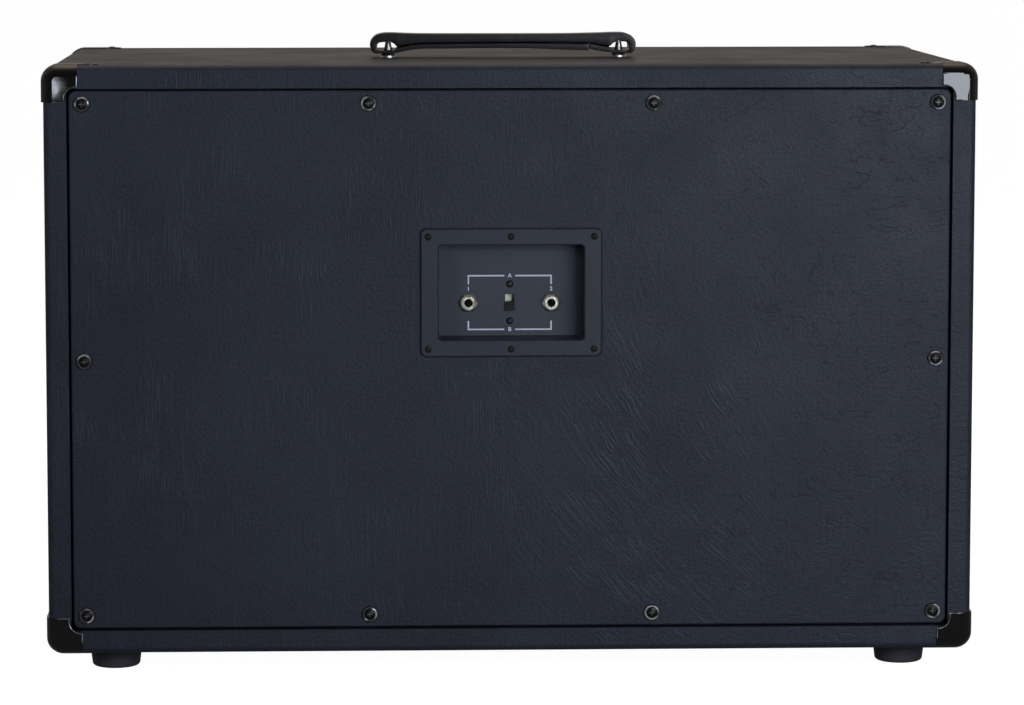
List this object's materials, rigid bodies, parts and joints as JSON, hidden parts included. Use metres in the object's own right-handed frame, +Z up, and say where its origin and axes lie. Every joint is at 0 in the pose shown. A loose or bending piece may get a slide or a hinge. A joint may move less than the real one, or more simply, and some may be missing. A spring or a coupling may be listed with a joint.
{
  "type": "guitar speaker cabinet",
  "caption": "Closed-back guitar speaker cabinet in black vinyl, with a recessed jack plate, strap handle, corner protectors and rubber feet.",
  "frame": {"origin": "on the floor under the middle of the cabinet", "axes": "+Z up, +X to the right seen from behind, +Y from the back panel to the grille"},
  "size_m": [0.7116, 0.3486, 0.4864],
  "materials": {
    "carcass_wood": "bare birch plywood",
    "black_vinyl": "grained black vinyl covering",
    "baffle_black": "plywood painted matt black",
    "grille_fabric": "woven black grille cloth",
    "zinc_steel": "zinc-plated steel",
    "moulded_plastic": "finely textured black plastic",
    "jack_metal": "nickel-plated bush with a moulded body behind it",
    "nickel": "nickel plate",
    "switch_metal": "passivated steel plate",
    "switch_plastic": "moulded black plastic",
    "black_screws": "black oxide",
    "washer_black": "black plated steel",
    "strap_vinyl": "grained black vinyl strap",
    "foot_rubber": "black rubber",
    "corner_black": "glossy black",
    "gasket_fibre": "pressed fibre",
    "basket_paint": "painted steel",
    "ferrite": "ferrite",
    "coil_copper": "enamelled copper on its former",
    "cone_paper": "pressed paper",
    "surround_cloth": "doped cloth",
    "terminal_board": "phenolic board",
    "lead_sheath": "rubber-sheathed two-core lead"
  },
  "bodies": {
    "cabinet": {"top_panel": "carcass_wood", "bottom_panel": "carcass_wood", "left_side_panel": "carcass_wood", "right_side_panel": "carcass_wood", "back_panel": "carcass_wood", "back_cleats": "carcass_wood", "baffle_cleats": "carcass_wood", "shell_covering": "black_vinyl", "back_panel_covering": "black_vinyl", "baffle_board": "baffle_black", "grille_frame": "baffle_black", "grille_cloth": "grille_fabric", "speaker_bolts": "zinc_steel", "speaker_tee_nuts": "zinc_steel", "handle_tee_nuts": "zinc_steel", "left_top_plate": "zinc_steel", "left_yoke": "zinc_steel", "right_top_plate": "zinc_steel", "right_yoke": "zinc_steel", "jack_plate": "moulded_plastic", "left_jack": "jack_metal", "right_jack": "jack_metal", "jack_nuts": "nickel", "handle_bolts": "nickel", "handle_ferrules": "nickel", "switch_frame": "switch_metal", "jack_plate_screws": "black_screws", "switch_screws": "black_screws", "back_panel_screws": "black_screws", "corner_screws": "black_screws", "foot_screws": "black_screws", "back_panel_cup_washers": "washer_black", "handle_strap": "strap_vinyl", "rear_left_foot": "foot_rubber", "rear_right_foot": "foot_rubber", "front_left_foot": "foot_rubber", "front_right_foot": "foot_rubber", "rear_corner_protectors": "corner_black", "front_corner_protectors": "corner_black", "left_gasket": "gasket_fibre", "right_gasket": "gasket_fibre", "left_basket": "basket_paint", "right_basket": "basket_paint", "left_magnet": "ferrite", "right_magnet": "ferrite", "left_surround": "surround_cloth", "left_spider": "surround_cloth", "right_surround": "surround_cloth", "right_spider": "surround_cloth", "left_terminal_strip": "terminal_board", "right_terminal_strip": "terminal_board", "left_speaker_lead": "lead_sheath", "right_speaker_lead": "lead_sheath"},
    "left_cone_body": {"left_cone": "cone_paper", "left_dust_cap": "cone_paper", "left_voice_coil": "coil_copper"},
    "right_cone_body": {"right_cone": "cone_paper", "right_dust_cap": "cone_paper", "right_voice_coil": "coil_copper"},
    "switch_body": {"switch_slider": "switch_plastic"}
  },
  "joints": [
    {"name": "switch_slide", "type": "slide", "parent": "cabinet", "child": "switch_body", "axis": [0, 0, 1], "range_m": [0, 0.0055]},
    {"name": "left_cone_travel", "type": "slide", "parent": "cabinet", "child": "left_cone_body", "axis": [0, 1, 0], "range_m": [-0.003, 0.003], "stiffness_N_per_m": 4500, "deforming": ["left_surround", "left_spider"]},
    {"name": "right_cone_travel", "type": "slide", "parent": "cabinet", "child": "right_cone_body", "axis": [0, 1, 0], "range_m": [-0.003, 0.003], "stiffness_N_per_m": 4500, "deforming": ["right_surround", "right_spider"]}
  ]
}
